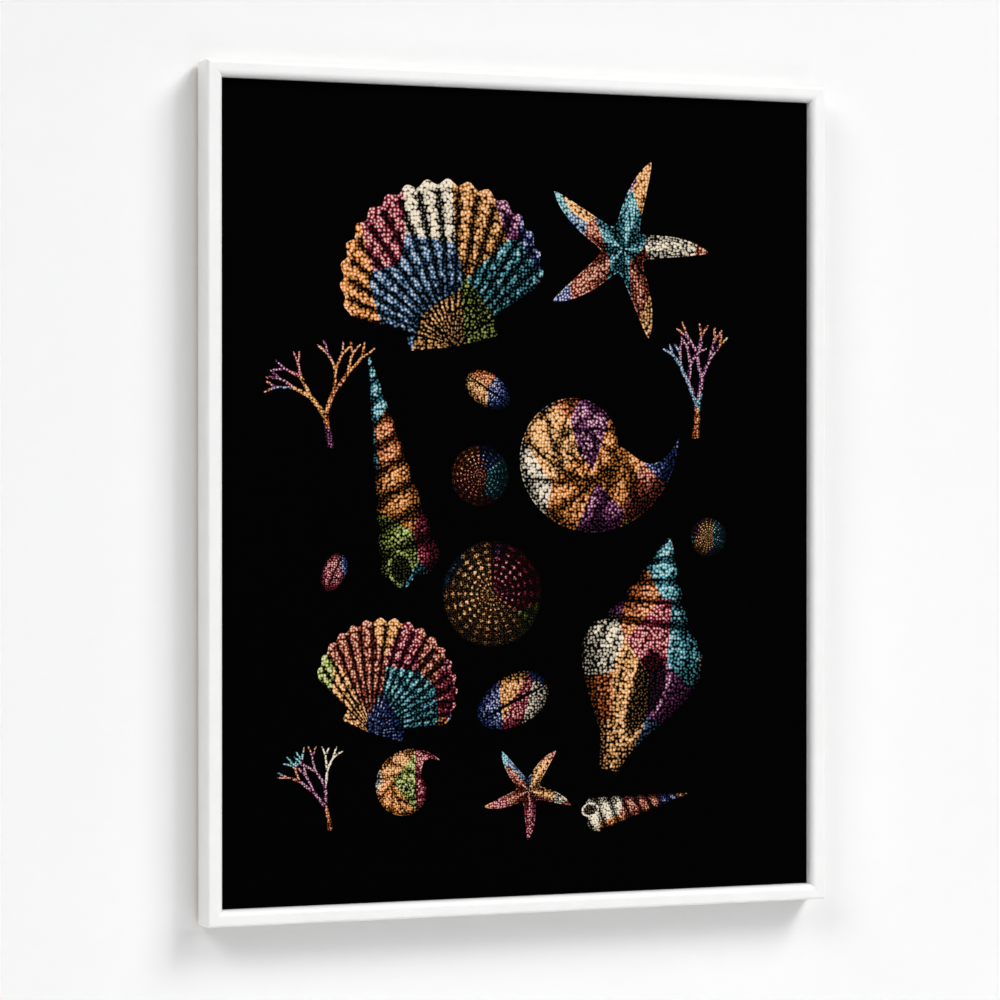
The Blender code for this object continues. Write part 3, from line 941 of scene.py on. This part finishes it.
def engrave(material, shader, colour, tone, pebble, seed):
    """Prints the colour in pebbles on black, from large and pale at tone 1 to none at 0."""
    place = flat_place(material, shift=seed)
    cells = {"Vector": place, "Scale": 1 / pebble, "Randomness": 0.75}
    from_heart = add_node(material, "TexVoronoi", "Distance", FLAT_CELLS, **cells)
    any_colour = add_node(material, "TexVoronoi", "Color", FLAT_CELLS, **cells)
    any_share = add_node(material, "SeparateColor", 0, Color=any_colour)
    own_light = any_share * PEBBLES_DIFFER + DIMMEST_PEBBLE
    light = (tone * own_light).math("MINIMUM", 1.0)
    dot = 1.0 - from_heart.above(light * 0.42 + 0.02, light * 0.50 + 0.24)
    ink = dot * (light * 0.90 + 0.06)
    shine = (1.0 - from_heart.above(0.04, light * 0.42 + 0.06)) * light.above(0.30, 0.95) * 0.85
    pale_at_heart = blend(material, shine, colour, CREAM)
    feed(shader.inputs["Base Color"], blend(material, ink, INK_BLACK, pale_at_heart))
    matt_threads(material, shader, weave(material))


# %% Light from the upper left
SHADE_SIDE = 0.46
LIT_SIDE_ADDS = 0.74


def lit_side(material, centre_mm, reach_mm):
    """Full on a shell's upper left side, and low on its lower right."""
    place = object_place(material)
    right = add_node(material, "SeparateXYZ", "X", Vector=place) - centre_mm[0] / 1000
    up = add_node(material, "SeparateXYZ", "Z", Vector=place) - (CENTRE.z + centre_mm[1] / 1000)
    towards_light = (up * 0.7 - right * 0.7) * (1000 / reach_mm)
    return towards_light.above(-1.3, 0.6) * LIT_SIDE_ADDS + SHADE_SIDE


def shell_ink(name, tone_of, centre_mm, reach_mm, seed, pebble, field):
    """An ink for one shell. tone_of gives light and dark from the shell's own coordinates."""
    material, shader = new_finish(name, Specular_IOR_Level=0.02)
    own = add_node(material, "UVMap", "UV", {"uv_map": "shell"})
    across = add_node(material, "SeparateXYZ", "X", Vector=own)
    along = add_node(material, "SeparateXYZ", "Y", Vector=own)
    tone = tone_of(material, across, along) * lit_side(material, centre_mm, reach_mm)
    engrave(material, shader, colour_fields(material, seed, field), tone, pebble, seed)
    return material


# %% The dark inside of a shell's mouth
def mouth_tone(material, across, along):
    """Dark in the middle, with a lip that catches the light."""
    lip = along.above(0.66, 0.92)
    folds = (across * 13.0).wave() * 0.10
    return lip * 0.85 + (1.0 - lip) * (folds + 0.05) + along * 0.12


# %% [markdown]
# ### Scallops
#
# A scallop is a fan. Its ribs run straight from the hinge to the rim, so the grid's across
# becomes an angle and its along a distance. Two small ears flank the hinge.

# %% Scallop outline
RIBS = 17
HALF_FAN = math.radians(66)
HINGE_BELOW = 0.52
RIB_ENDS = 0.018


def scallop(size):
    """The fan and its two ears, with the hinge at the bottom."""

    def fan(u, v):
        angle = HALF_FAN * (2 * u - 1)
        reach = size * (0.80 * math.cos(angle) ** 0.55 + 0.20)
        reach *= 1 + RIB_ENDS * v * math.cos(2 * math.pi * RIBS * u + math.pi)
        return reach * v * math.sin(angle), reach * v * math.cos(angle) - size * HINGE_BELOW

    def ear(side):
        def place(u, v):
            x = size * (0.02 + 0.27 * u)
            foot = size * (0.02 * u - 0.01)
            return side * x, foot + (x * 0.40 - foot) * v - size * HINGE_BELOW
        return place

    return [(fan, 170, 24), (ear(-1), 12, 6, 1), (ear(1), 12, 6, 1)]


def scallop_tone(material, across, along):
    ribs = (across * RIBS).wave()
    rings = (along * along * 6.5 + noise(material, object_place(material), 60.0) * 0.5).wave()
    rim = along.above(0.94, 0.985)
    return (ribs ** 1.4 * 0.90 + 0.12) * (rings * 0.55 + 0.55) * (along * 0.45 + 0.62) + rim * 0.45


def ear_tone(material, across, along):
    return (across * 5.0).wave() * 0.45 + (along * 3.0).wave() * 0.25 + 0.15


# %% [markdown]
# ### Spirals
#
# A spiral shell grows by the same share on every turn, so each turn is a larger copy of the
# last one. The grid's along runs round the spiral and its across from the last turn's edge
# to this one's. Where the turns touch, their points fall together and are joined.

# %% Spiral outline
TURNS = 3.1
TURN_SECTORS = 64


def spiral(size, growth=2.7, hand=1):
    def coil(u, v):
        angle = 2 * math.pi * TURNS * v
        outer = size * growth ** (TURNS * (v - 1))
        radius = outer * (1 / growth + (1 - 1 / growth) * u)
        lean = 0.30 * math.sin(math.pi * u)
        return hand * radius * math.cos(angle - lean), radius * math.sin(angle - lean)

    return [(coil, 20, int(TURNS * TURN_SECTORS))]


def spiral_tone(material, across, along):
    body = (across * 0.88 + 0.08).wave()
    flames = (along * 31.0 + across * 1.3).wave()
    ribs = (along * 124.0 + across * 2.0).wave()
    lip = along.above(0.985, 0.996)
    tone = (body ** 0.9) * (flames ** 0.7 * 0.80 + 0.26) * (ribs * 0.25 + 0.80)
    return tone + (across.above(0.94, 0.99) + lip) * 0.35


# %% [markdown]
# ### Towers and whelks
#
# A tower shell is a slim cone of turns. Seen from the side, each turn bulges and the seams
# between turns slant. A whelk is the same with a large last turn, a row of knobs and a canal.

# %% Tower outline
TOWER_TURNS = 10.0
TOWER_CROWDING = 0.72
TOWER_SLANT = 0.42


def tower_turn(u, v):
    """Counts turns from the tip, with the slant of the seams in it."""
    return TOWER_TURNS * v ** TOWER_CROWDING + TOWER_SLANT * (u - 0.5)


def tower(size, slim=0.155):
    def cone(u, v):
        bulge = abs(math.sin(math.pi * tower_turn(u, v))) ** 0.7
        half = size * slim * (0.04 + 0.96 * v) * (0.86 + 0.15 * bulge)
        foot = max(0.0, (v - 0.93) / 0.07)
        half *= math.sqrt(1 - 0.75 * foot * foot)
        return half * (2 * u - 1), size * (0.5 - v)

    def mouth(u, v):
        angle = 2 * math.pi * u
        reach = v * size * 0.085
        return -size * 0.05 + reach * 0.72 * math.sin(angle), -size * 0.455 + reach * math.cos(angle)

    return [(cone, 22, 200), (mouth, 40, 6, 1, 14)]


def tower_tone(material, across, along):
    turn = (along ** TOWER_CROWDING) * TOWER_TURNS + (across - 0.5) * TOWER_SLANT
    cords = (turn * 5.0).wave()
    round_light = (across * 0.86 + 0.04).wave()
    return (turn.wave() ** 0.8) * (cords * 0.40 + 0.70) * (round_light * 0.92 + 0.08)


# %% Whelk outline
WHELK_OUTLINE = (
    (0.00, 0.010), (0.07, 0.042), (0.14, 0.072), (0.22, 0.110), (0.30, 0.150), (0.38, 0.205),
    (0.44, 0.265), (0.52, 0.280), (0.62, 0.250), (0.72, 0.190), (0.82, 0.118), (0.92, 0.066),
    (1.00, 0.045),
)
WHELK_SHOULDER = 0.42
WHELK_TURNS = 11.0
WHELK_SLANT = 0.45


def outline_at(points, place):
    """The width at a place along an outline."""
    for (low, first), (high, second) in zip(points, points[1:]):
        if place <= high:
            return first + (second - first) * (place - low) / (high - low)
    return points[-1][1]


def whelk(size):
    def body(u, v):
        half = size * outline_at(WHELK_OUTLINE, v)
        if v < WHELK_SHOULDER:
            turn = v * WHELK_TURNS + WHELK_SLANT * (u - 0.5)
            half *= 0.84 + 0.20 * abs(math.sin(math.pi * turn)) ** 0.7
        bend = -0.16 * size * max(0.0, v - 0.62) ** 1.5
        return half * (2 * u - 1) + bend, size * (0.5 - v)

    def mouth(u, v):
        down = -math.cos(2 * math.pi * u)
        wide = 0.088 * (1 - 0.30 * down)
        x = 0.055 + wide * v * math.sin(2 * math.pi * u) - 0.05 * max(0.0, down * v)
        return size * x, size * (-0.155 - 0.235 * v * down)

    return [(body, 40, 120), (mouth, 48, 8, 1, 14)]


def whelk_tone(material, across, along):
    body = along.above(WHELK_SHOULDER - 0.03, WHELK_SHOULDER + 0.01)
    spire = (along * WHELK_TURNS + (across - 0.5) * WHELK_SLANT).wave() ** 0.6
    from_knobs = ((along - WHELK_SHOULDER - 0.03).math("ABSOLUTE") * 14.0).math("MINIMUM", 1.0)
    knobs = (across * 8.0).wave() * (1.0 - from_knobs)
    cords = (along * 40.0 + across * 2.0).wave()
    folds = (across * 8.0 + along * 2.0).wave()
    round_light = (across * 0.88 + 0.04).wave()
    form = spire * (1.0 - body) + (folds * 0.35 + 0.58) * body
    return form * (cords * 0.45 + 0.62) * (round_light * 0.92 + 0.08) + knobs * 0.35


# %% [markdown]
# ### Starfish, urchins and cowries
#
# Three more shapes come from a disc, where across is the way round and along the way out.
# Each arm of the star is a smooth bump in its radius. An urchin's knobs sit in rows that grow
# from the middle. A cowrie is an egg with a toothed slit.


# %% Starfish
def starfish(size):
    def star(u, v):
        from_arm = abs((5 * u) % 1.0 - 0.5) * 2 * math.pi / 5
        reach = size * (0.25 + 0.75 * math.exp(-((from_arm / 0.225) ** 1.35)))
        angle = 2 * math.pi * (u + 0.1) + 0.12 * (reach * v / size) ** 2
        return reach * v * math.sin(angle), reach * v * math.cos(angle)

    return [(star, 300, 20)]


def starfish_tone(material, across, along):
    off_arm = ((across * 5.0).cell() - 0.5).math("ABSOLUTE") * 2.0
    ridge = (1.0 - off_arm) ** 4.0
    bands = (along * 9.0).wave()
    edge = along.above(0.90, 0.96)
    return (bands * 0.35 + 0.25) * (1.0 - off_arm * 0.55) + ridge * 0.60 + edge * 0.30


# %% Urchin
URCHIN_ROWS = 22.0


def urchin(size):
    def disc(u, v):
        angle = 2 * math.pi * u
        reach = size * v * (1 + 0.010 * math.cos(5 * angle))
        return reach * math.sin(angle), reach * math.cos(angle)

    return [(disc, 110, 10)]


def urchin_tone(material, across, along):
    rows = (across * URCHIN_ROWS).cell() - 0.5
    rings = ((along ** 0.8) * 9.0).cell() - 0.5
    apart = (rows * rows + rings * rings).math("SQRT")
    knob = 1.0 - apart.above(0.16, 0.36)
    small = (across * URCHIN_ROWS * 3.0).wave() * ((along ** 0.8) * 27.0).wave()
    bands = (across * 5.0).wave() * 0.35 + 0.62
    light = 1.0 - along.above(0.55, 1.0) * 0.65
    return (knob * 0.75 + small * 0.28) * bands * light


# %% Cowrie
def cowrie(size):
    def egg(u, v):
        ring = math.sqrt(max(0.0, 1 - (2 * v - 1) ** 2))
        half = size * 0.31 * ring * (1 + 0.16 * (v - 0.5))
        return half * (2 * u - 1), size * 0.5 * (2 * v - 1)

    return [(egg, 24, 40)]


def cowrie_tone(material, across, along):
    off = (across - 0.52 - (along - 0.5) * (along - 0.5) * 0.16).math("ABSOLUTE")
    slit = off.above(0.018, 0.045)
    near = 1.0 - off.above(0.10, 0.26)
    teeth = (along * 17.0).wave() * near + (1.0 - near)
    round_light = (across * 0.86 + 0.04).wave() * (along * 0.9 + 0.05).wave()
    return slit * (teeth * 0.6 + 0.4) * (round_light ** 0.7)


# %% [markdown]
# ### Coral
#
# Sprigs of coral fill the gaps between the shells. A sprig forks again and again, and each
# branch is a strip that bends a little and tapers. The branches of one fork lie over each
# other where they meet, so each is printed a few thousandths of a millimetre higher.

# %% Coral
FORKS = 5
FORK_SPREAD = 21.0
MOST_BEND = 16
TAPER = 0.80


def coral(size, seed):
    draw = random.Random(seed)
    branches = []

    def grow(x, z, heading, length, width, fork, order):
        bend = math.radians(draw.uniform(-MOST_BEND, MOST_BEND))
        tip = width * TAPER
        last = fork == FORKS

        def branch(u, v):
            lean = heading + bend * v
            middle_x = x + length * v * math.sin(heading + bend * v / 2)
            middle_z = z + length * v * math.cos(heading + bend * v / 2)
            half = (width + (tip - width) * v) * (2 * u - 1) / 2
            if last:
                half *= math.sqrt(max(0.0, 1 - max(0.0, (v - 0.7) / 0.3) ** 2))
            return middle_x + half * math.cos(lean), middle_z - half * math.sin(lean)

        branches.append((branch, 4, 12, 0, order))
        if last:
            return
        end_x = x + length * math.sin(heading + bend / 2)
        end_z = z + length * math.cos(heading + bend / 2)
        for over, side in enumerate((-1, 1)):
            turn = math.radians(side * draw.uniform(0.75, 1.2) * FORK_SPREAD)
            share = draw.uniform(0.70, 0.90)
            turned = heading + bend + turn
            grow(end_x, end_z, turned, length * share, tip, fork + 1, 2 * fork + over)

    grow(0.0, -size / 2, 0.0, size * 0.26, size * 0.062, 1, 0)
    return branches


def coral_tone(material, across, along):
    return (across * 0.9 + 0.05).wave() * 0.75 + (along * 4.0).wave() * 0.15 + 0.10


# %% Lay out the chart
CHART = (
    ("scallop_large", scallop(0.182), scallop_tone, (-99, 258), -10, 103, 1.3, 0.0039, 0.050),
    ("star_large", starfish(0.105), starfish_tone, (121, 276), 12, 103, 2.1, 0.0035, 0.038),
    ("spiral_large", spiral(0.121), spiral_tone, (69, 50), 30, 117, 3.7, 0.0036, 0.046),
    ("tower_large", tower(0.247), tower_tone, (-156, 29), -12, 117, 4.4, 0.0034, 0.041),
    ("urchin_large", urchin(0.059), urchin_tone, (-37, -112), 0, 62, 5.2, 0.0025, 0.044),
    ("whelk", whelk(0.271), whelk_tone, (145, -183), 14, 124, 6.9, 0.0038, 0.046),
    ("scallop_middle", scallop(0.126), scallop_tone, (-156, -201), 20, 80, 7.5, 0.0034, 0.041),
    ("cowrie_large", cowrie(0.091), cowrie_tone, (-13, -232), 64, 46, 8.8, 0.0031, 0.033),
    ("spiral_small", spiral(0.050, 2.4, -1), spiral_tone, (-138, -327), 105, 50, 10.4, 0.0025, 0.026),
    ("urchin_small", urchin(0.034), urchin_tone, (-52, 20), 20, 35, 11.2, 0.0019, 0.029),
    ("star_small", starfish(0.055), starfish_tone, (6, -333), 30, 53, 12.7, 0.0026, 0.026),
    ("tower_small", tower(0.126, 0.17), tower_tone, (138, -353), 80, 61, 13.1, 0.0025, 0.033),
    ("cowrie_small", cowrie(0.059), cowrie_tone, (-42, 115), -58, 33, 14.9, 0.0026, 0.026),
    ("urchin_tiny", urchin(0.022), urchin_tone, (226, -50), 0, 24, 15.3, 0.0016, 0.020),
    ("cowrie_tiny", cowrie(0.044), cowrie_tone, (-222, -86), 24, 26, 16.8, 0.0024, 0.020),
    ("coral_right", coral(0.147, 8), coral_tone, (220, 135), 8, 73, 17.6, 0.0028, 0.035),
    ("coral_left", coral(0.132, 12), coral_tone, (-237, 115), -10, 66, 18.2, 0.0028, 0.035),
    ("coral_foot", coral(0.103, 21), coral_tone, (-232, -318), -6, 53, 19.1, 0.0025, 0.033),
)
SECOND_TONES = {scallop_tone: [ear_tone], tower_tone: [mouth_tone], whelk_tone: [mouth_tone]}

for name, patches, tone_of, centre_mm, turn, reach_mm, seed, pebble, field in CHART:
    tones = [tone_of] + SECOND_TONES.get(tone_of, [])
    inks = [shell_ink("ink_%s_%d" % (name, index), tone, centre_mm, reach_mm, seed, pebble, field)
            for index, tone in enumerate(tones)]
    print_shell("print_" + name, patches, centre_mm, turn, inks)
